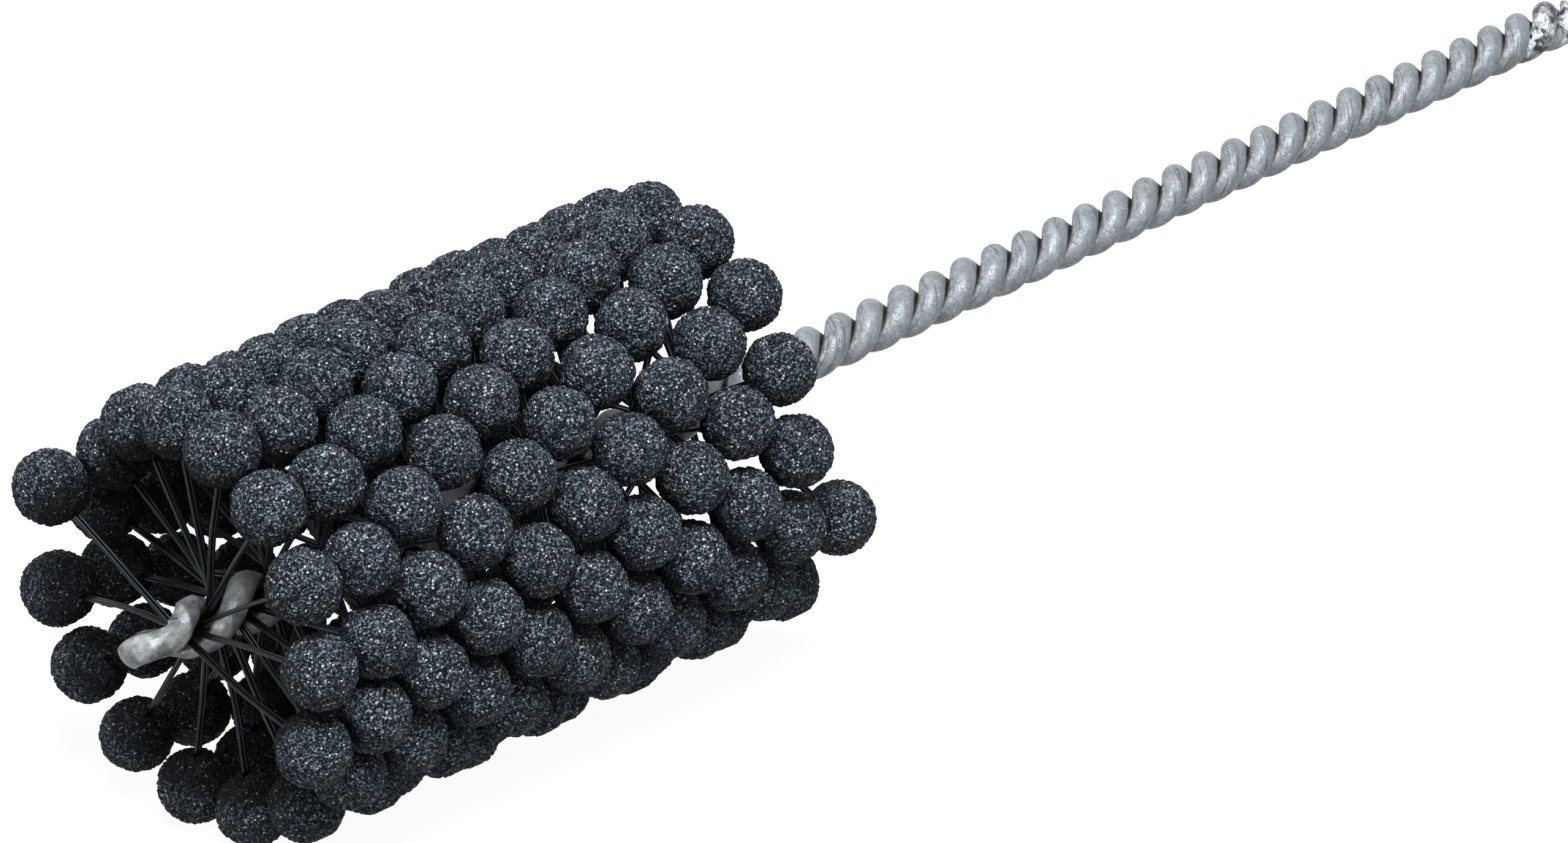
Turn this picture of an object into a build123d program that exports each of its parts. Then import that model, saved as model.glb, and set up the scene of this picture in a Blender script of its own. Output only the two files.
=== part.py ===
from build123d import *
from math import asin, atan, cos, degrees, pi, radians, sin
import os

# A flexible ball hone: one steel wire folded in half and twisted into a stem, with nylon
# filaments clamped between its two strands and an abrasive ball on each end of each tuft.
# Lengths are in millimetres and angles in degrees. The stem lies along X: the cut end of
# the shank is at the origin, and the folded tip and the brush are on the -X side. +Z is up.
# Angles round the stem are counted from +Y towards +Z.

# Overall sizes
overall_length = 203.0
brush_diameter = 47.0
ball_diameter = 7.0

# Stem: the wire, its tight twist in the bare shank, and its fold at the tip
wire_diameter = 2.75
strand_clearance = 0.02
shank_lead = 8.86

# At the tip the twist stops in front of the first tuft, and each strand bends out of it
# into a short straight leg. The fold joins the two legs.
twist_front = 0.6
fold_blend_radius = 3.0

# The cut end of the shank is ground to a slight dome, so that it enters a chuck
dome_length = 2.4
dome_depth = 0.6

# Tufts: how many, where the first one is, and how far each is turned from the last
tuft_count = 77
tuft_setback = 6.9
tuft_turn = 23.63
tuft_phase = 202.2

# Filaments: two side by side in each tuft, gripped between the strands
filament_diameter = 0.43
filament_spacing = 0.444
filament_clearance = 0.085

# Past the last tuft the wire goes over from the brush's twist to the shank's
brush_margin = 0.7
twist_change_length = 1.8

# The first tufts sit back a little in the twist, and the balls at the two ends of the
# brush lean: each is turned round the stem, and stands out along it
front_lag = 9.0
front_lag_tufts = 4
front_lag_fade = 6
front_ball_turn = 14.0
rear_ball_turn = -9.0
end_ball_reach = 0.9

# Share of a ball's radius from its centre to the flat land where its tuft enters
land_share = 0.93

# The balls are grouped round the brush in sectors, and the tufts by the way they point
sector_count = 15

# Worked out from the sizes above
ball_radius = ball_diameter / 2
ring_radius = brush_diameter / 2 - ball_radius
wire_radius = wire_diameter / 2
filament_radius = filament_diameter / 2
tip_x = -overall_length
tuft_pitch = 2 * filament_spacing
first_tuft_x = tip_x + tuft_setback
last_tuft_x = first_tuft_x + (tuft_count - 1) * tuft_pitch
brush_lead = tuft_pitch * 360 / tuft_turn
shank_strand_radius = wire_radius + strand_clearance / 2
brush_strand_radius = wire_radius + filament_radius + filament_clearance
brush_end_x = last_tuft_x + brush_margin
shank_start_x = brush_end_x + twist_change_length
shank_overrun = wire_diameter
sector_angle = 360 / sector_count
group_angle = 180 / sector_count
land_distance = land_share * ball_radius
land_latitude = degrees(asin(land_share))


def outward(angle):
    """The direction out of the stem at an angle round it."""
    return Vector(0, cos(radians(angle)), sin(radians(angle)))


def sideways(angle):
    """The direction round the stem, a quarter turn on from outward."""
    return outward(angle + 90)


def across_stem(x, angle):
    """A plane across the stem, with its first direction at an angle round it."""
    return Plane(origin=(x, 0, 0), x_dir=outward(angle), z_dir=(1, 0, 0))


def strand_point(x, radius, angle):
    """The centre of a strand at a place along the stem."""
    return Vector(x, 0, 0) + outward(angle) * radius


def strand_direction(radius, lead, angle):
    """The way a left-handed strand runs as it goes towards +X."""
    slope = 2 * pi * radius / lead
    return (Vector(1, 0, 0) - sideways(angle) * slope).normalized()


def tuft_x(tuft):
    return first_tuft_x + tuft * tuft_pitch


def tuft_angle(tuft):
    """The twist turns each tuft on from the last, and the first few lag behind it."""
    fade = (front_lag_tufts + front_lag_fade - tuft) / front_lag_fade
    return tuft_phase - tuft * tuft_turn - front_lag * min(max(fade, 0), 1)


def end_lean(tuft, end):
    """How far a ball is turned round the stem and stands out along it."""
    if (tuft, end) == (0, 1):
        return front_ball_turn, -end_ball_reach
    if (tuft, end) == (tuft_count - 1, 0):
        return rear_ball_turn, end_ball_reach
    return 0, 0


def end_angle(tuft, end):
    """Where a tuft's end stands round the brush. End 0 and end 1 are opposite."""
    return tuft_angle(tuft) + 180 * end + end_lean(tuft, end)[0]


def tuft_end(tuft, end):
    """From the tuft's middle on the stem's centre line to the centre of its ball."""
    return outward(end_angle(tuft, end)) * ring_radius + Vector(end_lean(tuft, end)[1], 0, 0)


def along_tuft(tuft, end):
    """A plane across the middle of a tuft that looks out along one end of it."""
    return Plane(origin=(tuft_x(tuft), 0, 0), x_dir=(1, 0, 0), z_dir=tuft_end(tuft, end))


def brush_strand_angle(x):
    """The strands stand a quarter turn from the tufts that they grip."""
    return tuft_phase + 90 - tuft_turn * (x - first_tuft_x) / tuft_pitch


def twist_change_point(share, strand):
    """A strand between brush and shank, where the twist tightens and the gap closes."""
    run = share * twist_change_length
    ease = share * share * (3 - 2 * share)
    radius = brush_strand_radius + (shank_strand_radius - brush_strand_radius) * ease
    brush_rate = 360 / brush_lead
    shank_rate = 360 / shank_lead
    turned = brush_rate * run + (shank_rate - brush_rate) * run * share / 2
    angle = brush_strand_angle(brush_end_x) + strand - turned
    return brush_end_x + run, radius, angle


def wire_along(path, frenet=False):
    """Sweep the round wire along a path into the stem that is being built."""
    with BuildSketch(Plane(origin=path @ 0, z_dir=path % 0)) as section:
        Circle(wire_radius)
    sweep(section.sketch, path=path, is_frenet=frenet)


def twisted_run(x_start, x_end, radius, lead, angle):
    """One strand's helix between two places along the stem."""
    with BuildLine(mode=Mode.PRIVATE) as turns:
        Helix(lead, x_end - x_start, radius, lefthand=True)
    wire_along(turns.edge().moved(across_stem(x_start, angle).location), frenet=True)


def ground_off():
    """Half the outline of what grinding takes off round the cut end."""
    rim = shank_strand_radius + wire_radius
    with BuildSketch(mode=Mode.PRIVATE) as ground:
        with BuildLine():
            dome = TangentArc((-dome_length, rim), (0, rim - dome_depth), tangent=(1, 0))
            Polyline(dome @ 1, (shank_overrun, rim - dome_depth))
            Polyline((shank_overrun, rim - dome_depth), (shank_overrun, rim + dome_depth))
            Polyline((shank_overrun, rim + dome_depth), (-dome_length, rim + dome_depth), dome @ 0)
        make_face()
    return ground.sketch


def build_stem_wire():
    slope = atan(2 * pi * brush_strand_radius / brush_lead)
    swing = fold_blend_radius * (1 - cos(slope))
    fold_radius = (brush_strand_radius**2 + swing**2) ** 0.5
    fold_x = tip_x + wire_radius + fold_radius
    twist_x = first_tuft_x - twist_front
    bend_x = twist_x - fold_blend_radius * sin(slope)
    with BuildPart() as stem_wire:
        leg_ends = []
        for strand in (0, 180):
            angle = brush_strand_angle(twist_x) + strand
            start = strand_point(twist_x, brush_strand_radius, angle)
            bend_end = strand_point(bend_x, brush_strand_radius, angle) + sideways(angle) * swing
            leg_end = bend_end + Vector(fold_x - bend_x, 0, 0)
            leg_ends.append(leg_end)
            with BuildLine(mode=Mode.PRIVATE) as straightening:
                TangentArc(
                    start,
                    bend_end,
                    tangent=-strand_direction(brush_strand_radius, brush_lead, angle),
                )
            wire_along(straightening.edge())
            with BuildLine(mode=Mode.PRIVATE) as leg:
                Line(bend_end, leg_end)
            wire_along(leg.edge())
            twisted_run(twist_x, brush_end_x, brush_strand_radius, brush_lead, angle)

            shares = (0, 0.25, 0.5, 0.75, 1)
            stations = [twist_change_point(share, strand) for share in shares]
            with BuildLine(mode=Mode.PRIVATE) as tightening:
                Spline(
                    *[strand_point(*station) for station in stations],
                    tangents=[
                        strand_direction(brush_strand_radius, brush_lead, stations[0][2]),
                        strand_direction(shank_strand_radius, shank_lead, stations[-1][2]),
                    ],
                )
            wire_along(tightening.edge())
            twisted_run(
                shank_start_x, shank_overrun, shank_strand_radius, shank_lead, stations[-1][2]
            )
        with BuildLine(mode=Mode.PRIVATE) as fold:
            ThreePointArc(leg_ends[0], (tip_x + wire_radius, 0, 0), leg_ends[1])
        wire_along(fold.edge())
        revolve(ground_off(), axis=Axis.X, mode=Mode.SUBTRACT)
        split(bisect_by=Plane(origin=(0, 0, 0), z_dir=(-1, 0, 0)), keep=Keep.TOP)
    return stem_wire.part


def filament_route(tuft, side):
    """From land to land, with a bend in the stem where a ball of the tuft leans."""
    middle = Vector(tuft_x(tuft) + side * filament_spacing / 2, 0, 0)
    ends = [tuft_end(tuft, end) for end in (0, 1)]
    lands = [middle + end - end.normalized() * land_distance for end in ends]
    if end_lean(tuft, 0) == end_lean(tuft, 1):
        return lands
    return [lands[0], middle, lands[1]]


def build_tufts(group):
    """The tufts that point one way: each is two filaments through the stem."""
    with BuildPart() as tufts:
        for tuft in range(tuft_count):
            if int(tuft_angle(tuft) % 180 // group_angle) != group:
                continue
            for side in (-1, 1):
                with BuildLine() as route:
                    Polyline(*filament_route(tuft, side))
                with BuildSketch(Plane(origin=route.line @ 0, z_dir=route.line % 0)):
                    Circle(filament_radius)
                sweep(path=route.line, transition=Transition.RIGHT)
    return tufts.part


def build_balls(sector):
    """The balls of one sector: each is round, with a flat land that faces its tuft."""
    seats = []
    for tuft in range(tuft_count):
        for end in (0, 1):
            if int(end_angle(tuft, end) % 360 // sector_angle) == sector:
                seats.append(along_tuft(tuft, end).offset(tuft_end(tuft, end).length).location)
    with BuildPart() as balls:
        with Locations(*seats):
            Sphere(ball_radius, arc_size1=-land_latitude, align=None)
    return balls.part


os.makedirs("parts", exist_ok=True)

stem_wire = build_stem_wire()
stem_wire.label = "stem_wire"
export_step(stem_wire, "parts/stem_wire.step")

for number in range(sector_count):
    tufts = build_tufts(number)
    tufts.label = f"tufts_{number + 1:02d}"
    export_step(tufts, f"parts/{tufts.label}.step")

    balls = build_balls(number)
    balls.label = f"balls_{number + 1:02d}"
    export_step(balls, f"parts/{balls.label}.step")
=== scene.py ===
"""Looks of the flexible ball hone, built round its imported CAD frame.

Lengths are in millimetres until a mesh is made, and angles in degrees. The stem lies along X,
the shank's cut end is at the origin and the brush is on the -X side. Angles round the stem
are counted from +Y towards +Z, as in the CAD source.
"""
import math
import random

import bmesh
import bpy
import numpy as np
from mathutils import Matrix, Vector, noise


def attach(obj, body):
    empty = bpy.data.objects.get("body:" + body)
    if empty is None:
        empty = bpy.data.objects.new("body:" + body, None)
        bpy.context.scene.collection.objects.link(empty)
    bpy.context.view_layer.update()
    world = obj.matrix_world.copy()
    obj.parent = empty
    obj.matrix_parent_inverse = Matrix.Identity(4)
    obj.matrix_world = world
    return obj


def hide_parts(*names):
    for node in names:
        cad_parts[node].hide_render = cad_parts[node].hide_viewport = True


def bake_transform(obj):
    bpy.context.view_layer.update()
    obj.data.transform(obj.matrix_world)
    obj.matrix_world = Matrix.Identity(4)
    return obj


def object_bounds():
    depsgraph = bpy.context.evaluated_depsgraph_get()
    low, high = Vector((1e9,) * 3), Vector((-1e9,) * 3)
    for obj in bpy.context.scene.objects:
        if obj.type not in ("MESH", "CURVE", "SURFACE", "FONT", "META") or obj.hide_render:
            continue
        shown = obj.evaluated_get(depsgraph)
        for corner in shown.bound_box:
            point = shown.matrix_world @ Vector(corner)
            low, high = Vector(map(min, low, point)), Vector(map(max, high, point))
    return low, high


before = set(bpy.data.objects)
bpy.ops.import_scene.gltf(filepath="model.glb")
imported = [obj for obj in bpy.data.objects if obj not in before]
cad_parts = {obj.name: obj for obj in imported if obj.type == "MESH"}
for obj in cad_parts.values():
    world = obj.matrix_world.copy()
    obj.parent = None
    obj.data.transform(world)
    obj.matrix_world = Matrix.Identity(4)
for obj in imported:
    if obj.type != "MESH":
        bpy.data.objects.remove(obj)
cad_low, cad_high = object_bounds()

MM = 0.001
rng = random.Random(11)

# Sizes shared with the CAD source
OVERALL_LENGTH = 203.0
BRUSH_DIAMETER = 47.0
BALL_RADIUS = 3.5
WIRE_RADIUS = 1.375
STRAND_CLEARANCE = 0.02
SHANK_LEAD = 8.86
FOLD_BLEND_RADIUS = 3.0
TWIST_FRONT = 0.6
DOME_LENGTH = 2.4
DOME_DEPTH = 0.6
TUFT_COUNT = 77
TUFT_SETBACK = 6.9
TUFT_TURN = 23.63
TUFT_PHASE = 202.2
FILAMENT_RADIUS = 0.215
FILAMENT_SPACING = 0.444
FILAMENT_CLEARANCE = 0.085
BRUSH_MARGIN = 0.7
TWIST_CHANGE_LENGTH = 1.8
FRONT_LAG = 9.0
FRONT_LAG_TUFTS = 4
FRONT_LAG_FADE = 6
FRONT_BALL_TURN = 14.0
REAR_BALL_TURN = -9.0
END_BALL_REACH = 0.9
SECTOR_COUNT = 15

# Worked out from those sizes
TIP_X = -OVERALL_LENGTH
RING_RADIUS = BRUSH_DIAMETER / 2 - BALL_RADIUS
TUFT_PITCH = 2 * FILAMENT_SPACING
FIRST_TUFT_X = TIP_X + TUFT_SETBACK
BRUSH_END_X = FIRST_TUFT_X + (TUFT_COUNT - 1) * TUFT_PITCH + BRUSH_MARGIN
SHANK_START_X = BRUSH_END_X + TWIST_CHANGE_LENGTH
BRUSH_LEAD = TUFT_PITCH * 360 / TUFT_TURN
SHANK_STRAND_RADIUS = WIRE_RADIUS + STRAND_CLEARANCE / 2
BRUSH_STRAND_RADIUS = WIRE_RADIUS + FILAMENT_RADIUS + FILAMENT_CLEARANCE
SECTOR_ANGLE = 360 / SECTOR_COUNT
STEM_BODY = "stem"


def outward(angle):
    """The direction out of the stem at an angle round it."""
    return np.array((0.0, math.cos(math.radians(angle)), math.sin(math.radians(angle))))


def unit(vector):
    return vector / np.linalg.norm(vector)


def tuft_x(tuft):
    return FIRST_TUFT_X + tuft * TUFT_PITCH


def tuft_angle(tuft):
    """The twist turns each tuft on from the last, and the first few lag behind it."""
    fade = (FRONT_LAG_TUFTS + FRONT_LAG_FADE - tuft) / FRONT_LAG_FADE
    return TUFT_PHASE - tuft * TUFT_TURN - FRONT_LAG * min(max(fade, 0), 1)


def end_lean(tuft, end):
    """How far a ball is turned round the stem and stands out along it."""
    if (tuft, end) == (0, 1):
        return FRONT_BALL_TURN, -END_BALL_REACH
    if (tuft, end) == (TUFT_COUNT - 1, 0):
        return REAR_BALL_TURN, END_BALL_REACH
    return 0.0, 0.0


def end_angle(tuft, end):
    """Where a tuft's end stands round the brush. End 0 and end 1 are opposite."""
    return tuft_angle(tuft) + 180 * end + end_lean(tuft, end)[0]


def tuft_end(tuft, end):
    """From a tuft's middle on the stem's centre line to the centre of its ball."""
    return outward(end_angle(tuft, end)) * RING_RADIUS + np.array((end_lean(tuft, end)[1], 0, 0))


def ends_by_sector():
    """The tuft ends that stand in each sector of the brush, as (tuft, end)."""
    sectors = [[] for _ in range(SECTOR_COUNT)]
    for tuft in range(TUFT_COUNT):
        for end in (0, 1):
            sectors[int(end_angle(tuft, end) % 360 // SECTOR_ANGLE)].append((tuft, end))
    return sectors


def add_mesh(name, points, faces, material):
    """A smooth mesh from points in millimetres."""
    mesh = bpy.data.meshes.new(name)
    mesh.from_pydata([tuple(p) for p in np.asarray(points) * MM], [], faces)
    mesh.polygons.foreach_set("use_smooth", [True] * len(mesh.polygons))
    mesh.materials.append(material)
    piece = bpy.data.objects.new(name, mesh)
    bpy.context.scene.collection.objects.link(piece)
    return piece


def add_attribute(piece, name, values):
    """A number or a vector for each point of a piece, which its material reads."""
    values = np.array(values, np.float32)
    kind, field = ("FLOAT_VECTOR", "vector") if values.ndim == 2 else ("FLOAT", "value")
    attribute = piece.data.attributes.new(name, kind, "POINT")
    attribute.data.foreach_set(field, values.ravel())


def rings_to_faces(rings, sides, first=0):
    """Quads between rings of points that follow each other."""
    faces = []
    for ring in range(rings - 1):
        for side in range(sides):
            beside = (side + 1) % sides
            low, high = first + ring * sides, first + (ring + 1) * sides
            faces.append((low + side, low + beside, high + beside, high + side))
    return faces


# Node trees: short names for adding nodes and links
def empty_tree(owner):
    """The node tree of a material or a world, with nothing in it."""
    owner.use_nodes = True
    owner.node_tree.nodes.clear()
    return owner.node_tree


def set_inputs(tree, node, values):
    """Link each input to an output of another node, or set it to a constant."""
    for key, value in values.items():
        socket = node.inputs[key]
        if isinstance(value, bpy.types.NodeSocket):
            tree.links.new(value, socket)
        elif socket.type == "RGBA":
            socket.default_value = (*value, 1)
        else:
            socket.default_value = value


def add_node(tree, kind, values=None, **settings):
    node = tree.nodes.new("ShaderNode" + kind)
    for key, value in settings.items():
        setattr(node, key, value)
    set_inputs(tree, node, values or {})
    return node


def shader_tree(name):
    """A material whose surface is one principled shader."""
    material = bpy.data.materials.new(name)
    tree = empty_tree(material)
    surface = add_node(tree, "BsdfPrincipled")
    add_node(tree, "OutputMaterial", {"Surface": surface.outputs["BSDF"]})
    return material, tree, surface


def attribute_at(tree, name, output="Fac"):
    """What an attribute of the mesh says at each place."""
    return add_node(tree, "Attribute", attribute_name=name).outputs[output]


def millimetres(tree, vector=None, stretch=(1, 1, 1)):
    """Places on the object in millimetres, which textures are then scaled from."""
    if vector is None:
        vector = add_node(tree, "TexCoord").outputs["Object"]
        stretch = [s / MM for s in stretch]
    return add_node(tree, "Mapping", {"Vector": vector, "Scale": stretch}).outputs["Vector"]


def noise_at(tree, place, texture):
    """Noise from a texture's scale, detail and roughness."""
    scale, detail, roughness = texture
    values = {"Vector": place, "Scale": scale, "Detail": detail, "Roughness": roughness}
    return add_node(tree, "TexNoise", values).outputs["Fac"]


def cells_at(tree, place, scale):
    """Cells round scattered middles: the distance from them, and three random numbers."""
    cells = add_node(tree, "TexVoronoi", {"Vector": place, "Scale": scale})
    pick = add_node(tree, "SeparateColor", {"Color": cells.outputs["Color"]})
    return cells.outputs["Distance"], pick.outputs


def ramp(tree, factor, stops):
    """A colour for each factor, from stops of a factor and a colour."""
    node = add_node(tree, "ValToRGB", {"Fac": factor})
    elements = node.color_ramp.elements
    while len(elements) < len(stops):
        elements.new(0.5)
    for element, (position, colour) in zip(elements, stops):
        element.position = position
        element.color = (*colour, 1)
    return node.outputs["Color"]


def mixed(tree, share, first, second, blend="MIX"):
    """Two colours mixed. The node takes colours at 6 and 7, and gives one at 2."""
    colours = {0: share, 6: first, 7: second}
    return add_node(tree, "Mix", colours, data_type="RGBA", blend_type=blend).outputs[2]


def math_node(tree, operation, *values):
    return add_node(tree, "Math", dict(enumerate(values)), operation=operation).outputs[0]


def product(tree, first, second):
    return math_node(tree, "MULTIPLY", first, second)


def scaled_sum(tree, first, scale, second):
    """The first value times a scale, added to the second."""
    return math_node(tree, "MULTIPLY_ADD", first, scale, second)


def map_range(tree, value, low, high, to_low=0.0, to_high=1.0):
    values = {"Value": value, "From Min": low, "From Max": high}
    values.update({"To Min": to_low, "To Max": to_high})
    return add_node(tree, "MapRange", values).outputs["Result"]


def bump(tree, height, depth, strength=1.0, normal=None):
    """Relief of a depth in millimetres, on top of another relief if there is one."""
    values = {"Height": height, "Distance": depth * MM, "Strength": strength}
    if normal is not None:
        values["Normal"] = normal
    return add_node(tree, "Bump", values).outputs["Normal"]


# In the materials, a texture is a scale, a detail and a roughness. A range is a low and a high
# value, then what they give: 0 and 1, unless two more numbers say so.

# The grit: its textures, how much each adds to the tone, and the colours
CURLS = (4.0, 2.0, 0.6)
PATCHES = (0.5, 2.0, 0.5)
HUES = (1.8, 1.0, 0.5)
HUE_RANGE = (0.40, 0.60)
GRAIN_SCALE = 3.8
GRAIN_IN_TONE = 0.24
PIT_IN_TONE = -0.34
PATCH_IN_TONE = 0.10
GRIT_COLOURS = (
    (0.36, (0.0058, 0.0076, 0.0094)),
    (0.45, (0.0255, 0.0335, 0.0420)),
    (0.54, (0.065, 0.085, 0.105)),
    (0.62, (0.150, 0.187, 0.219)),
    (0.72, (0.43, 0.50, 0.56)),
)
COOL_TINT = (0.93, 1.01, 1.05)
WARM_TINT = (1.06, 0.99, 1.02)
SHADED_COLOUR = (0.0030, 0.0038, 0.0046)
SHADED_SHARE = 0.86
# A few grains get a near-white colour: painted glints, with a lower roughness as well
PAINTED_GLINT_COLOUR = (0.94, 0.96, 0.98)
SPARKLE_ABOVE = 0.950
SPARKLE_RADIUS = 0.50
SHADED_SPARKLE = 0.25
GRIT_ROUGHNESS = 0.70
SPARKLE_ROUGHNESS = 0.35
GRIT_SPECULAR = 0.12
PIT_IN_RELIEF = -0.5
GRIT_RELIEF = 0.55


def abrasive_material():
    """Blue-black grit in binder: pale grains, dark pits, and a few grains with painted glints.

    The "shaded" attribute makes it nearly black towards the stem and between pressed balls.
    """
    material, tree, surface = shader_tree("abrasive_grain")
    place = millimetres(tree)
    curls = noise_at(tree, place, CURLS)
    patches = noise_at(tree, place, PATCHES)
    from_middle, pick = cells_at(tree, place, GRAIN_SCALE)
    tone = scaled_sum(tree, pick[0], GRAIN_IN_TONE, curls)
    tone = scaled_sum(tree, from_middle, PIT_IN_TONE, tone)
    tone = scaled_sum(tree, patches, PATCH_IN_TONE, tone)
    hue = map_range(tree, noise_at(tree, place, HUES), *HUE_RANGE)
    tint = mixed(tree, hue, COOL_TINT, WARM_TINT)
    body = mixed(tree, 1.0, ramp(tree, tone, GRIT_COLOURS), tint, "MULTIPLY")
    shaded = attribute_at(tree, "shaded")
    body = mixed(tree, product(tree, shaded, SHADED_SHARE), body, SHADED_COLOUR)
    # Painted glints: a near-white colour in the middles of a few grains, weaker where the painted
    # shade is
    shiny = math_node(tree, "GREATER_THAN", pick[2], SPARKLE_ABOVE)
    in_middle = math_node(tree, "LESS_THAN", from_middle, SPARKLE_RADIUS)
    sparkle = product(tree, shiny, in_middle)
    sparkle = product(tree, sparkle, map_range(tree, shaded, 0, 1, 1, SHADED_SPARKLE))
    height = scaled_sum(tree, from_middle, PIT_IN_RELIEF, curls)
    set_inputs(tree, surface, {
        "Base Color": mixed(tree, sparkle, body, PAINTED_GLINT_COLOUR),
        "Roughness": map_range(tree, sparkle, 0, 1, GRIT_ROUGHNESS, SPARKLE_ROUGHNESS),
        "Specular IOR Level": GRIT_SPECULAR,
        "Normal": bump(tree, height, GRIT_RELIEF),
    })
    return material


# The nylon. A stretch is a scale across, across and along the wire.
STREAK_STRETCH = (4, 4, 0.25)
STREAKS = (1.0, 2.0, 0.5)
NYLON_DUSTING = (3.5, 4.0, 0.65)
NYLON_DUSTY = (0.60, 0.76)
NYLON_ROUGHNESS = (0.3, 0.7, 0.15, 0.26)
NYLON_SPECULAR = 0.3
NYLON_DARK = (0.0010, 0.0012, 0.0015)
NYLON_PALE = (0.0040, 0.0048, 0.0058)
NYLON_DUST = (0.022, 0.027, 0.032)
NYLON_GLOSS = (0.74, 0.90, 1.0)
NYLON_RELIEF = 0.008
DUST_IN_ROUGHNESS = 0.2


def nylon_material():
    """Glossy black filament, drawn lengthwise, with a little dust on it."""
    material, tree, surface = shader_tree("nylon_filament")
    wire_place = attribute_at(tree, "wire_place", "Vector")
    streaks = noise_at(tree, millimetres(tree, wire_place, STREAK_STRETCH), STREAKS)
    dusty = map_range(tree, noise_at(tree, millimetres(tree), NYLON_DUSTING), *NYLON_DUSTY)
    tint = mixed(tree, streaks, NYLON_DARK, NYLON_PALE)
    roughness = map_range(tree, streaks, *NYLON_ROUGHNESS)
    set_inputs(tree, surface, {
        "Base Color": mixed(tree, dusty, tint, NYLON_DUST),
        "Roughness": scaled_sum(tree, dusty, DUST_IN_ROUGHNESS, roughness),
        "Specular IOR Level": NYLON_SPECULAR,
        "Specular Tint": NYLON_GLOSS,
        "Normal": bump(tree, streaks, NYLON_RELIEF),
    })
    return material


# The zinc, what lies on it, and the ground end: textures and stretches
MARK_STRETCH = (1.3, 1.3, 0.16)
MARKS = (1.3, 5.0, 0.6)
LAP_STRETCH = (1.1, 1.1, 0.10)
LAPS = (1.0, 2.0, 0.5)
LAP_MIDDLE = 0.5
LAP_PLACE_STRETCH = (0.25, 0.25, 0.20)
LAP_PLACES = (1.0, 1.0, 0.5)
SCRATCH_STRETCH = (5, 5, 0.6)
SCRATCHES = (1.2, 3.0, 0.6)
CLOUD = (0.75, 6.0, 0.68)
CLOUD_IN_TONE = 0.75
GRAINY = (3.2, 4.0, 0.7)
GRAINY_IN_TONE = 0.55
MOTTLES = (0.62, 4.0, 0.62)
SPECKS = (2.6, 3.0, 0.6)
DIRT = (2.0, 4.0, 0.6)
LUMPS = (0.9, 4.0, 0.60)
LUMPS_IN_TONE = 0.85
FACET_SCALE = 1.1
FACETS_IN_TONE = 0.26

# Their ranges. Those in X say where along the stem something starts and is there in full.
MARKED = (0.36, 0.48, 0.30, 0.0)
LAPPED = (0.004, 0.024, 0.75, 0.0)
LAPPED_PLACES = (0.49, 0.54)
LAPPED_X = (-125.0, -120.0)
SCRATCHED = (0.64, 0.72, 0.0, 0.35)
SPECKLED = (0.64, 0.70, 0.0, 0.6)
MOTTLED_X = (-184.0, -192.0, 0.0, 0.80)
# Painted shade inside the brush, where the balls shade the stem, mixed with grinding dust
SHADE_AND_DUST_X_FRONT = (-190.0, -184.0, 0.0, 0.60)
SHADE_AND_DUST_X_REAR = (-127.5, -129.5)
WARM = (0.44, 0.58, 0.0, 0.75)
WARM_IN_CREASE = (0.02, 0.12, 0.12, 1.0)
# Darkening in the creases between the strands: painted shade, with grime
SHADE_AND_GRIME_STRENGTH = (0.3, 0.6, 0.70, 1.0)
SHADE_AND_GRIME_IN_CREASE = (0.22, 0.52)
ZINC_ROUGHNESS = (0.38, 0.62, 0.55, 0.33)

# Their colours, relief and gloss
ZINC_COLOURS = (
    (0.48, (0.165, 0.198, 0.228)),
    (0.66, (0.257, 0.294, 0.330)),
    (0.84, (0.380, 0.412, 0.448)),
)
MOTTLE_COLOURS = (
    (0.38, (0.090, 0.115, 0.135)),
    (0.49, (0.235, 0.268, 0.288)),
    (0.58, (0.400, 0.410, 0.392)),
    (0.68, (0.620, 0.640, 0.640)),
)
# Bright ground metal with painted reflections: near-black streaks and near-white facets
GROUND_METAL_AND_REFLECTION_COLOURS = (
    (0.44, (0.018, 0.020, 0.024)),
    (0.49, (0.13, 0.14, 0.16)),
    (0.55, (0.33, 0.35, 0.38)),
    (0.63, (0.48, 0.51, 0.55)),
    (0.69, (0.90, 0.92, 0.95)),
)
MARK_COLOUR = (0.120, 0.138, 0.155)
LAP_COLOUR = (0.055, 0.060, 0.066)
SCRATCH_COLOUR = (0.66, 0.68, 0.70)
SPECK_COLOUR = (0.80, 0.82, 0.83)
# Painted shade and grinding dust on the stem inside the brush
SHADE_AND_DUST_COLOUR = (0.050, 0.049, 0.047)
WARM_COLOUR = (0.60, 0.545, 0.46)
# Painted shade and grime in the creases between the strands
CREASE_SHADE_AND_GRIME_COLOUR = (0.028, 0.026, 0.024)
MARK_RELIEF = 0.08
CLOUD_RELIEF = 0.16
GRAIN_RELIEF = 0.035
ZINC_RELIEF_STRENGTH = 0.8
GROUND_RELIEF = 0.6
DIRT_IN_ROUGHNESS = 0.3
GROUND_ROUGHNESS = 0.18
ZINC_METALLIC = 0.35


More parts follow.
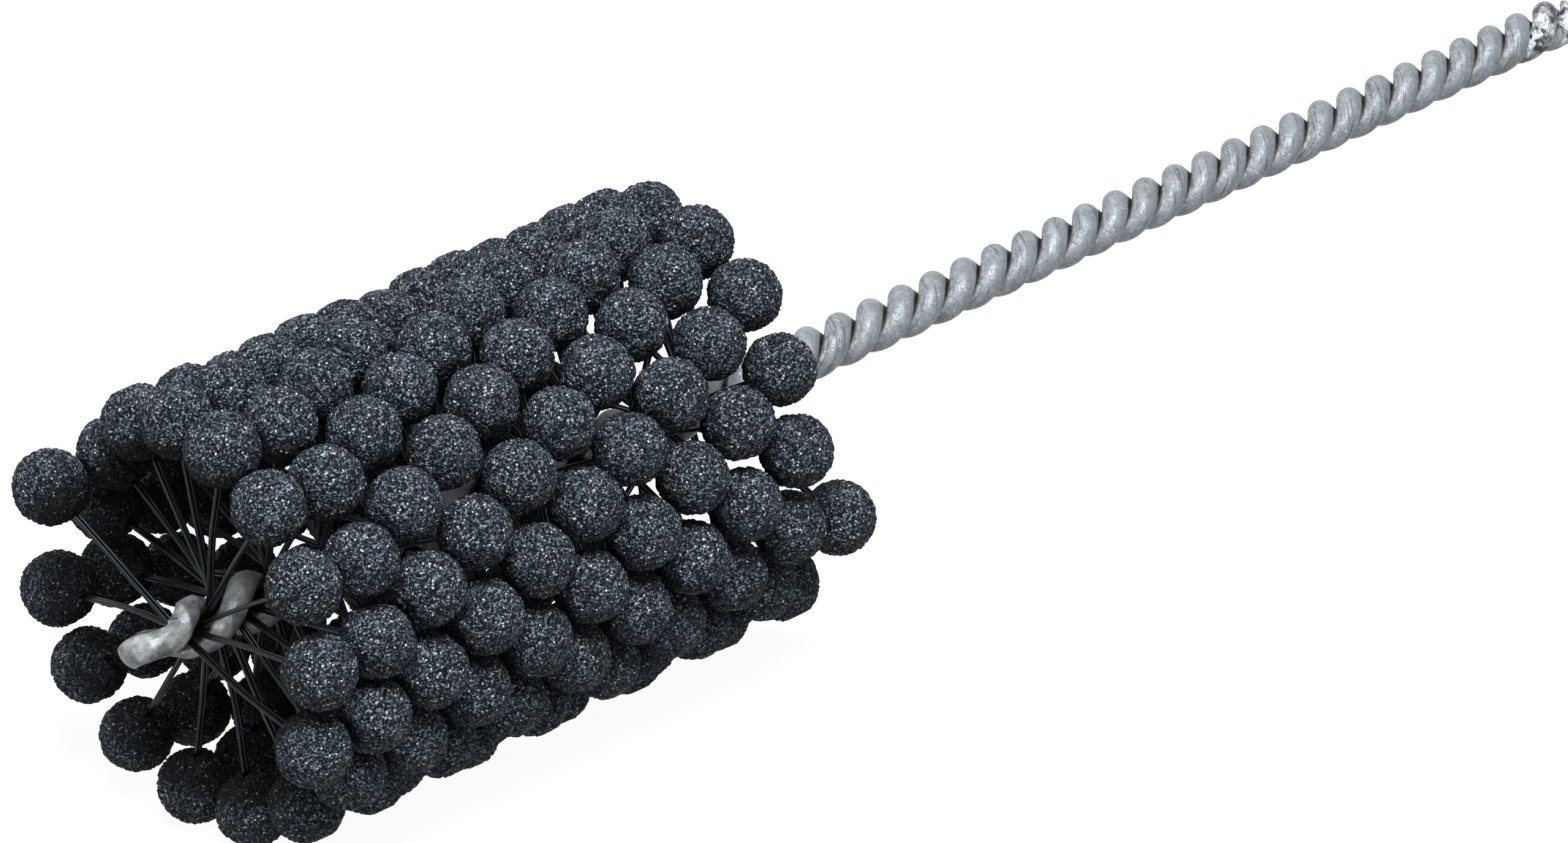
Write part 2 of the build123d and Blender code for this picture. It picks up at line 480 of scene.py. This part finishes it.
def zinc_colour(tree, place, wire_place, tone, marks):
    """Clouded zinc: mottled at the fold, dark inside the brush with painted shade and grinding
    dust, and lapped on the shank.
    """
    along = add_node(tree, "SeparateXYZ", {"Vector": place}).outputs[0]
    mottles = ramp(tree, noise_at(tree, place, MOTTLES), MOTTLE_COLOURS)
    mottled = map_range(tree, along, *MOTTLED_X)
    zinc = mixed(tree, mottled, ramp(tree, tone, ZINC_COLOURS), mottles)

    laps = noise_at(tree, millimetres(tree, wire_place, LAP_STRETCH), LAPS)
    off_lap = math_node(tree, "ABSOLUTE", math_node(tree, "SUBTRACT", laps, LAP_MIDDLE))
    places = noise_at(tree, millimetres(tree, wire_place, LAP_PLACE_STRETCH), LAP_PLACES)
    lapped = map_range(tree, off_lap, *LAPPED)
    lapped = product(tree, lapped, map_range(tree, places, *LAPPED_PLACES))
    lapped = product(tree, lapped, map_range(tree, along, *LAPPED_X))
    scratches = noise_at(tree, millimetres(tree, wire_place, SCRATCH_STRETCH), SCRATCHES)
    specks = noise_at(tree, place, SPECKS)
    # Painted shade inside the brush, with grinding dust: dusty darkens the zinc between these
    # places
    dusty = map_range(tree, along, *SHADE_AND_DUST_X_FRONT)
    dusty = product(tree, dusty, map_range(tree, along, *SHADE_AND_DUST_X_REAR))
    for share, colour in (
        (map_range(tree, marks, *MARKED), MARK_COLOUR),
        (lapped, LAP_COLOUR),
        (map_range(tree, scratches, *SCRATCHED), SCRATCH_COLOUR),
        (map_range(tree, specks, *SPECKLED), SPECK_COLOUR),
        (dusty, SHADE_AND_DUST_COLOUR),
    ):
        zinc = mixed(tree, share, zinc, colour)
    return zinc


def ground_lumps(tree, place):
    """The tone of the ground end: lumps, and facets that grinding left on them. Its colours paint
    reflections on them, near-white and near-black, over bright metal.
    """
    _, pick = cells_at(tree, place, FACET_SCALE)
    lumps = product(tree, noise_at(tree, place, LUMPS), LUMPS_IN_TONE)
    return scaled_sum(tree, pick[0], FACETS_IN_TONE, lumps)


def wire_material():
    """Dull zinc on drawn wire, with painted shade and grime where the strands meet, and a bright
    ground end.
    """
    material, tree, surface = shader_tree("galvanised_wire")
    place = millimetres(tree)
    wire_place = attribute_at(tree, "wire_place", "Vector")
    crease = attribute_at(tree, "crease")
    ground = attribute_at(tree, "ground")
    marks = noise_at(tree, millimetres(tree, wire_place, MARK_STRETCH), MARKS)
    cloud = noise_at(tree, place, CLOUD)
    grainy = noise_at(tree, place, GRAINY)
    tone = scaled_sum(tree, grainy, GRAINY_IN_TONE, product(tree, cloud, CLOUD_IN_TONE))
    zinc = zinc_colour(tree, place, wire_place, tone, marks)

    dirt = noise_at(tree, place, DIRT)
    warm = map_range(tree, dirt, *WARM)
    warm = product(tree, warm, map_range(tree, crease, *WARM_IN_CREASE))
    # Painted shade in the crease where the strands meet, with grime, uneven along the wire
    crease_shade_and_grime = map_range(tree, crease, *SHADE_AND_GRIME_IN_CREASE)
    crease_shade_and_grime = product(tree, crease_shade_and_grime, map_range(tree, dirt, *SHADE_AND_GRIME_STRENGTH))
    zinc = mixed(tree, crease_shade_and_grime, mixed(tree, warm, zinc, WARM_COLOUR), CREASE_SHADE_AND_GRIME_COLOUR)

    # The ground end's colour: bright metal with painted reflections on its lumps and facets
    lumps = ground_lumps(tree, place)
    bright = ramp(tree, lumps, GROUND_METAL_AND_REFLECTION_COLOURS)
    dull = map_range(tree, grainy, *ZINC_ROUGHNESS)
    dull = scaled_sum(tree, crease_shade_and_grime, DIRT_IN_ROUGHNESS, dull)
    relief = None
    for height, depth in ((marks, MARK_RELIEF), (cloud, CLOUD_RELIEF), (grainy, GRAIN_RELIEF)):
        relief = bump(tree, height, depth, ZINC_RELIEF_STRENGTH, relief)
    hammered = product(tree, lumps, ground)
    set_inputs(tree, surface, {
        "Base Color": mixed(tree, ground, zinc, bright),
        "Roughness": map_range(tree, ground, 0, 1, dull, GROUND_ROUGHNESS),
        "Metallic": ZINC_METALLIC,
        "Normal": bump(tree, hammered, GROUND_RELIEF, normal=relief),
    })
    return material


# The stem: one wire from cut end to fold and back, as rings of points round its centre line
WIRE_SIDES = 40
RING_STEP = 0.22
WIRE_RIPPLE = 0.022
RIPPLE_ROUND = 1.2
RIPPLE_ALONG = 0.35
PAST_CUT = 2 * WIRE_RADIUS

# Where grinding starts on each strand, and the lumps that it leaves
GROUND_STARTS = (-3.0, -8.2)
GROUND_FADE = 0.35
GROUND_RAGGED = 0.45
GROUND_RAGGED_SCALE = 0.8
END_LUMP_DEPTH = 0.30
END_LUMP_FADE = 0.8
END_LUMP_SCALE = 1.3
END_SMALL_LUMP_SCALE = 3.1
END_SMALL_LUMP_SHARE = 0.5

# The crease between the strands starts at this cosine of the angle towards the other strand,
# and is full over this range
CREASE_START = -0.35
CREASE_RANGE = 0.98
CREASE_POWER = 1.5

# The wire swells at the fold, and is pressed into twisted flats round it
FOLD_SWELL = 0.16
FOLD_SWELL_LENGTH = 7.0
FACET_SIDES = 3
FACET_SHARE = 0.30
FACET_TWIST = 26.0
FACET_LENGTH = 16.0
FACET_FADE = 1.6


def brush_strand_angle(x):
    """The strands stand a quarter turn from the tufts that they grip."""
    return TUFT_PHASE + 90 - TUFT_TURN * (x - FIRST_TUFT_X) / TUFT_PITCH


def half_route():
    """One strand's centre line from the tip to past the cut end, and the way in from it."""
    slope = math.atan(2 * math.pi * BRUSH_STRAND_RADIUS / BRUSH_LEAD)
    swing = FOLD_BLEND_RADIUS * (1 - math.cos(slope))
    fold_radius = math.hypot(BRUSH_STRAND_RADIUS, swing)
    twist_x = FIRST_TUFT_X - TWIST_FRONT
    bend_x = twist_x - FOLD_BLEND_RADIUS * math.sin(slope)
    fold_centre_x = TIP_X + WIRE_RADIUS + fold_radius
    fold_out = outward(brush_strand_angle(twist_x))
    fold_side = outward(brush_strand_angle(twist_x) + 90)
    across = unit(fold_out * BRUSH_STRAND_RADIUS + fold_side * swing)
    along = np.array((1.0, 0, 0))
    points, inward = [], []

    def follow(point, centre):
        points.append(point)
        inward.append(centre - point)

    fold_centre = along * fold_centre_x
    for share in np.arange(0, 1, RING_STEP / (fold_radius * math.pi / 2)):
        bent = math.radians(90 * share)
        step = across * math.sin(bent) - along * math.cos(bent)
        follow(fold_centre + step * fold_radius, fold_centre)
    for x in np.arange(fold_centre_x, bend_x, RING_STEP):
        follow(along * x + across * fold_radius, along * x)
    for share in np.arange(0, 1, RING_STEP / (FOLD_BLEND_RADIUS * slope)):
        bent = slope * share
        side = FOLD_BLEND_RADIUS * (math.cos(bent) - math.cos(slope))
        x = bend_x + FOLD_BLEND_RADIUS * math.sin(bent)
        follow(along * x + fold_out * BRUSH_STRAND_RADIUS + fold_side * side, along * x)

    brush_rate, shank_rate = 360 / BRUSH_LEAD, 360 / SHANK_LEAD
    for x in np.arange(twist_x, PAST_CUT, RING_STEP * math.cos(slope)):
        share = min(max((x - BRUSH_END_X) / TWIST_CHANGE_LENGTH, 0), 1)
        ease = share * share * (3 - 2 * share)
        radius = BRUSH_STRAND_RADIUS + (SHANK_STRAND_RADIUS - BRUSH_STRAND_RADIUS) * ease
        angle = brush_strand_angle(min(x, BRUSH_END_X))
        run = share * TWIST_CHANGE_LENGTH
        angle -= brush_rate * run + (shank_rate - brush_rate) * run * share / 2
        angle -= shank_rate * max(x - SHANK_START_X, 0)
        follow(along * x + outward(angle) * radius, along * x)
    return np.array(points), np.array(inward)


def wire_rings():
    """The whole wire's centre line with two directions across it and the length along it."""
    points, inward = half_route()
    turn_over = np.array((1, -1, -1))
    points = np.concatenate((points[::-1], points[1:] * turn_over))
    inward = np.concatenate((inward[::-1], inward[1:] * turn_over))
    forward = np.gradient(points, axis=0)
    forward /= np.linalg.norm(forward, axis=1)[:, None]
    inward -= forward * (inward * forward).sum(1)[:, None]
    inward /= np.linalg.norm(inward, axis=1)[:, None]
    length = np.concatenate(([0], np.linalg.norm(np.diff(points, axis=0), axis=1).cumsum()))
    return points, inward, np.cross(forward, inward), length


def ground_dome(point, start):
    """Grinding takes the cut end down to a slight dome, and leaves it lumpy."""
    x, out = point[0], math.hypot(point[1], point[2])
    if x < start:
        return point
    lump = noise.noise(Vector(point) * END_LUMP_SCALE)
    lump += END_SMALL_LUMP_SHARE * noise.noise(Vector(point) * END_SMALL_LUMP_SCALE)
    fade = min((x - start) / END_LUMP_FADE, 1)
    rim = SHANK_STRAND_RADIUS + WIRE_RADIUS
    dome_radius = (DOME_LENGTH**2 + DOME_DEPTH**2) / (2 * DOME_DEPTH)
    beyond = min(max(x + DOME_LENGTH, 0), DOME_LENGTH)
    reach = rim - dome_radius + math.sqrt(dome_radius**2 - beyond**2)
    reach = min(out, reach) - END_LUMP_DEPTH * fade * min(abs(lump), 1) * out / rim
    return np.array((x, point[1] * reach / out, point[2] * reach / out))


def pressed_flat(turn, from_fold):
    """Bending the wire round presses twisted flats into it, with edges between them."""
    fade = FACET_FADE - FACET_FADE * abs(from_fold) / FACET_LENGTH
    share = FACET_SHARE * min(max(fade, 0), 1)
    side = 2 * math.pi / FACET_SIDES
    place = (turn + math.radians(FACET_TWIST) * from_fold) % side - side / 2
    return 1 - share * (1 - math.cos(side / 2) / math.cos(place))


def cut_at_origin(mesh):
    """Take off what reaches past the cut end, and close the wire there."""
    work = bmesh.new()
    work.from_mesh(mesh)
    bmesh.ops.bisect_plane(
        work,
        geom=work.verts[:] + work.edges[:] + work.faces[:],
        plane_co=(0, 0, 0),
        plane_no=(1, 0, 0),
        clear_outer=True,
    )
    rim = [edge for edge in work.edges if edge.is_boundary]
    bmesh.ops.edgeloop_fill(work, edges=rim)
    bmesh.ops.recalc_face_normals(work, faces=work.faces)
    work.to_mesh(mesh)
    work.free()


def build_stem_wire(material):
    points, inward, sideways, length = wire_rings()
    from_fold = length - length[-1] / 2
    swells = 1 + FOLD_SWELL * np.clip(1 - np.abs(from_fold) / FOLD_SWELL_LENGTH, 0, 1) ** 0.5
    turns = np.linspace(0, 2 * math.pi, WIRE_SIDES, endpoint=False)
    verts, wire_place, crease, ground = [], [], [], []
    rings = zip(points, inward, sideways, length, swells, from_fold)
    for centre, across, beside, run, swell, apart in rings:
        start = GROUND_STARTS[int(apart > 0)]
        for turn in turns:
            c, s = math.cos(turn), math.sin(turn)
            ripple = noise.noise(Vector((c * RIPPLE_ROUND, s * RIPPLE_ROUND, run * RIPPLE_ALONG)))
            radius = WIRE_RADIUS - WIRE_RIPPLE * (0.5 + 0.5 * ripple)
            radius *= pressed_flat(turn, apart)
            point = ground_dome(centre + (across * c + beside * s * swell) * radius, start)
            verts.append(point)
            ragged = GROUND_RAGGED * noise.noise(Vector(point) * GROUND_RAGGED_SCALE)
            ground.append(min(max((point[0] - start + ragged) / GROUND_FADE, 0), 1))
            wire_place.append((c * WIRE_RADIUS, s * WIRE_RADIUS, run))
            crease.append(min(max((c - CREASE_START) / CREASE_RANGE, 0), 1) ** CREASE_POWER)
    faces = rings_to_faces(len(points), WIRE_SIDES)
    piece = add_mesh("stem_strands", verts, faces, material)
    add_attribute(piece, "wire_place", wire_place)
    add_attribute(piece, "crease", crease)
    add_attribute(piece, "ground", ground)
    cut_at_origin(piece.data)
    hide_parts("stem_wire")
    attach(piece, STEM_BODY)


# The filaments: half of each tuft is in the sector of its ball
FILAMENT_SIDES = 12
FILAMENT_RINGS = 14
FILAMENT_BOW = 0.30
FILAMENT_STRAY = 0.05
FILAMENT_SPLAY = 0.04
FILAMENT_INTO_BALL = 0.45
TUFT_STREAK_OFFSET = 31
SIDE_STREAK_OFFSET = 7


def filament(tuft, end, side, bow):
    """One end of a filament, from the stem's centre line into its ball, slightly bowed."""
    middle = np.array((tuft_x(tuft) + side * FILAMENT_SPACING / 2, 0, 0))
    reach = tuft_end(tuft, end)
    forward = unit(reach)
    run = np.linalg.norm(reach) - BALL_RADIUS + FILAMENT_INTO_BALL
    across = unit(np.cross(forward, (1.0, 0, 0)))
    beside = np.cross(forward, across)
    streaks_from = TUFT_STREAK_OFFSET * tuft + SIDE_STREAK_OFFSET * side
    verts, place = [], []
    for share in np.linspace(0, 1, FILAMENT_RINGS):
        clear = max(run * share - BRUSH_STRAND_RADIUS, 0) / (run - BRUSH_STRAND_RADIUS)
        sag = math.sin(math.pi * clear) ** 2
        centre = middle + forward * run * share + (across * bow[0] + beside * bow[1]) * sag
        for turn in np.linspace(0, 2 * math.pi, FILAMENT_SIDES, endpoint=False):
            c, s = math.cos(turn), math.sin(turn)
            verts.append(centre + (across * c + beside * s) * FILAMENT_RADIUS)
            along = run * share + streaks_from
            place.append((c * FILAMENT_RADIUS, s * FILAMENT_RADIUS, along))
    return verts, place


def build_filaments(sector, ends, material):
    """A sector's filaments, from the stem to its balls."""
    verts, faces, places = [], [], []
    for tuft, end in ends:
        bow = [rng.uniform(-FILAMENT_BOW, FILAMENT_BOW) for _ in range(2)]
        for side in (-1, 1):
            apart = [b + rng.uniform(-FILAMENT_STRAY, FILAMENT_STRAY) for b in bow]
            apart[1] += FILAMENT_SPLAY * side
            tube, place = filament(tuft, end, side, apart)
            faces += rings_to_faces(FILAMENT_RINGS, FILAMENT_SIDES, len(verts))
            last = len(verts) + len(tube)
            faces.append(tuple(range(last - FILAMENT_SIDES, last)))
            faces.append(tuple(range(len(verts) + FILAMENT_SIDES - 1, len(verts) - 1, -1)))
            verts += tube
            places += place
    piece = add_mesh(f"filaments_{sector + 1:02d}", verts, faces, material)
    add_attribute(piece, "wire_place", places)
    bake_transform(piece)
    return piece


# The balls: each is an uneven globe of grains, pressed flat where its neighbours come near
BALL_SUBDIVISIONS = 5
BALL_REACH = 3.88
BALL_INSET = 0.12
BALL_VARIATION = 0.10
BRUSH_INSET = 0.05
BRUSH_REACH = BRUSH_DIAMETER / 2 - BRUSH_INSET
NEIGHBOUR_REACH = 8.6
NEIGHBOUR_GAP = 0.012
FLAT_SHARPNESS = 34
FACING_LEAST = 0.01
LUMP_SCALE = 1.7
LUMP_LEVEL = 0.3
LUMP_DEPTH = 0.16
GRAIN_DEPTH = 0.30
NOISE_SPREAD = 50
LEAN_PIVOT_RADIUS = 3.94
LEAN_ANGLES = range(-45, 46, 5)

# Shade starts and is full at these cosines towards the stem, and at these shares of a ball's
# size to the room that its neighbours leave
INNER_START = 0.05
INNER_END = 0.60
PRESSED_START = 0.91
PRESSED_END = 1.03


def globe():
    """Directions from a ball's middle to its points, and the faces between them."""
    work = bmesh.new()
    bmesh.ops.create_icosphere(work, subdivisions=BALL_SUBDIVISIONS, radius=1)
    directions = np.array([vertex.co for vertex in work.verts])
    faces = [tuple(vertex.index for vertex in face.verts) for face in work.faces]
    work.free()
    return directions, faces


def turned(points, angle):
    """Points turned round the X axis."""
    c, s = math.cos(math.radians(angle)), math.sin(math.radians(angle))
    return points @ np.array(((1, 0, 0), (0, c, s), (0, -s, c)))


def ball_centres(sectors):
    """Every ball's centre, a little inside its place in the frame, and its sector's pivot."""
    centres, pivots = [], []
    for sector, ends in enumerate(sectors):
        for tuft, end in ends:
            place = np.array((tuft_x(tuft), 0, 0)) + tuft_end(tuft, end)
            centres.append(place - outward(end_angle(tuft, end)) * BALL_INSET)
            pivots.append(outward((sector + 0.5) * SECTOR_ANGLE) * LEAN_PIVOT_RADIUS)
    return np.array(centres), np.array(pivots)


def neighbour_flats(ball, centres, pivots):
    """Planes half way to a ball's neighbours at every lean, as (direction, distance)."""
    directions, distances = [], []
    for angle in LEAN_ANGLES:
        leaning = pivots + turned(centres - pivots, angle)
        apart = turned(leaning - leaning[ball], -angle)
        reach = np.linalg.norm(apart, axis=1)
        near = (reach > 0) & (reach < NEIGHBOUR_REACH)
        directions.append(apart[near] / reach[near, None])
        distances.append(reach[near] / 2 - NEIGHBOUR_GAP)
    return np.concatenate(directions), np.concatenate(distances)


def rising(values, start, full):
    """0 up to the start, 1 from where it is full, and in a straight line between."""
    return np.clip((values - start) / (full - start), 0, 1)


def ball_points(centre, directions, flats):
    """A ball's surface, lumpy with grains that stand out, and how much each point is shaded.

    Points are shaded on the side towards the stem, and where neighbours press on the ball.
    """
    seed = Vector([rng.uniform(-NOISE_SPREAD, NOISE_SPREAD) for _ in range(3)])
    size = BALL_REACH - rng.uniform(0, BALL_VARIATION)
    facing = np.maximum(directions @ flats[0].T, FACING_LEAST)
    limit = (flats[1] / facing).min(axis=1)
    reaches = (size**-FLAT_SHARPNESS + limit**-FLAT_SHARPNESS) ** (-1 / FLAT_SHARPNESS)
    for index, direction in enumerate(directions):
        lump = noise.noise(Vector(direction) * LUMP_SCALE + seed)
        reaches[index] -= LUMP_DEPTH * max(LUMP_LEVEL - lump, 0) + GRAIN_DEPTH * rng.random()
    points = centre + directions * reaches[:, None]
    out = np.hypot(points[:, 1], points[:, 2])
    points[:, 1:] *= np.minimum(BRUSH_REACH / out, 1)[:, None]
    towards_stem = directions @ (centre * (0, -1, -1)) / np.hypot(centre[1], centre[2])
    hidden = rising(towards_stem, INNER_START, INNER_END)
    pressed = rising(size / limit, PRESSED_START, PRESSED_END)
    return points, np.maximum(hidden, pressed)


def build_balls(sector, balls, centres, pivots, shape, material):
    """A sector's balls in one piece, since they lean together."""
    directions, globe_faces = shape
    verts, faces, shaded = [], [], []
    for ball in balls:
        faces += [tuple(index + len(verts) for index in face) for face in globe_faces]
        flats = neighbour_flats(ball, centres, pivots)
        points, shares = ball_points(centres[ball], directions, flats)
        verts += list(points)
        shaded += list(shares)
    piece = add_mesh(f"grit_balls_{sector + 1:02d}", verts, faces, material)
    add_attribute(piece, "shaded", shaded)
    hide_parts(f"balls_{sector + 1:02d}")
    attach(piece, f"ball_sector_{sector + 1:02d}")


def tuft_nodes_of(ends):
    """The CAD nodes of the tufts whose ends these are: they are grouped by direction."""
    groups = {int(tuft_angle(tuft) % 180 // (180 / SECTOR_COUNT)) for tuft, _ in ends}
    return [f"tufts_{group + 1:02d}" for group in sorted(groups)]


abrasive = abrasive_material()
nylon = nylon_material()
galvanised = wire_material()

build_stem_wire(galvanised)
ball_shape = globe()
sectors = ends_by_sector()
centres, pivots = ball_centres(sectors)
first_ball = 0
for sector, ends in enumerate(sectors):
    balls = range(first_ball, first_ball + len(ends))
    first_ball += len(ends)
    build_balls(sector, balls, centres, pivots, ball_shape, abrasive)
    halves = build_filaments(sector, ends, nylon)
    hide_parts(*tuft_nodes_of(ends))


# Floor, light and camera
FLOOR_SIZE = 8.0
FLOOR_COLOUR = 0.12
FLOOR_OWN_LIGHT = 0.95
WORLD_LEVEL = 0.04
CAMERA_PLACE = (-0.6285, -0.5414, 0.3960)
CAMERA_BACK = (-0.60403, -0.63957, 0.47546)
CAMERA_UP = (0.32645, 0.34567, 0.87972)
CAMERA_LENS = 192.4
CAMERA_SENSOR = 36
CAMERA_NEAR = 0.05
WHITE = (1, 1, 1)

# Lamps that face the middle of the brush: place in metres, width, height and power in watts
BRUSH_MIDDLE = (-0.14, 0, 0)
LAMPS = {
    "key": ((-0.34, -0.36, 1.05), 0.6, 0.6, 15.0),
    "side": ((-0.10, -0.90, 0.28), 0.5, 0.8, 1.4),
    "front": ((-0.90, -0.20, 0.10), 0.4, 0.4, 1.1),
    "back": ((0.05, 0.75, 0.65), 0.8, 0.5, 2.4),
}


def seen_directly(tree):
    """1 for rays from the camera and for reflections and refractions, and 0 for lighting."""
    path = add_node(tree, "LightPath")
    seen = math_node(tree, "MAXIMUM", path.outputs["Is Camera Ray"], path.outputs["Is Glossy Ray"])
    return math_node(tree, "MAXIMUM", seen, path.outputs["Is Transmission Ray"])


def build_floor():
    """A floor that looks white but lights nothing, and keeps the object's shadow."""
    material = bpy.data.materials.new("pale_floor")
    tree = empty_tree(material)
    matt = add_node(tree, "BsdfDiffuse", {"Color": (FLOOR_COLOUR,) * 3})
    share = product(tree, seen_directly(tree), FLOOR_OWN_LIGHT)
    white = add_node(tree, "Emission", {"Color": WHITE, "Strength": share})
    both = add_node(tree, "AddShader", {0: matt.outputs[0], 1: white.outputs[0]})
    add_node(tree, "OutputMaterial", {"Surface": both.outputs[0]})
    half = FLOOR_SIZE / 2
    corners = [(-half, -half), (half, -half), (half, half), (-half, half)]
    mesh = bpy.data.meshes.new("floor")
    mesh.from_pydata([(x, y, cad_low.z) for x, y in corners], [], [(0, 1, 2, 3)])
    mesh.materials.append(material)
    floor = bpy.data.objects.new("floor", mesh)
    bpy.context.scene.collection.objects.link(floor)


def build_world():
    """A world that looks white, and lights the object only a little."""
    world = bpy.data.worlds.new("studio")
    bpy.context.scene.world = world
    tree = empty_tree(world)
    light = add_node(tree, "Background", {"Color": WHITE, "Strength": WORLD_LEVEL})
    white = add_node(tree, "Background", {"Color": WHITE, "Strength": 1.0})
    seen = seen_directly(tree)
    mix = add_node(tree, "MixShader", {0: seen, 1: light.outputs[0], 2: white.outputs[0]})
    add_node(tree, "OutputWorld", {"Surface": mix.outputs[0]})


def add_softbox(name, place, width, height, power):
    """A rectangular studio lamp that faces the middle of the brush."""
    lamp = bpy.data.lights.new(name, "AREA")
    lamp.shape = "RECTANGLE"
    lamp.size, lamp.size_y = width, height
    lamp.energy = power
    softbox = bpy.data.objects.new(name, lamp)
    softbox.location = place
    facing = Vector(BRUSH_MIDDLE) - Vector(place)
    softbox.rotation_euler = facing.to_track_quat("-Z", "Y").to_euler()
    bpy.context.scene.collection.objects.link(softbox)


def build_camera():
    data = bpy.data.cameras.new("camera")
    data.lens = CAMERA_LENS
    data.sensor_width = CAMERA_SENSOR
    data.clip_start = CAMERA_NEAR
    camera = bpy.data.objects.new("camera", data)
    back, up = Vector(CAMERA_BACK).normalized(), Vector(CAMERA_UP)
    right = up.cross(back).normalized()
    up = back.cross(right)
    for column, axis in enumerate((right, up, back, Vector(CAMERA_PLACE))):
        for row in range(3):
            camera.matrix_world[row][column] = axis[row]
    bpy.context.scene.collection.objects.link(camera)
    bpy.context.scene.camera = camera


build_floor()
build_world()
for name, setting in LAMPS.items():
    add_softbox(name, *setting)
build_camera()
bpy.context.scene.view_settings.view_transform = "Standard"
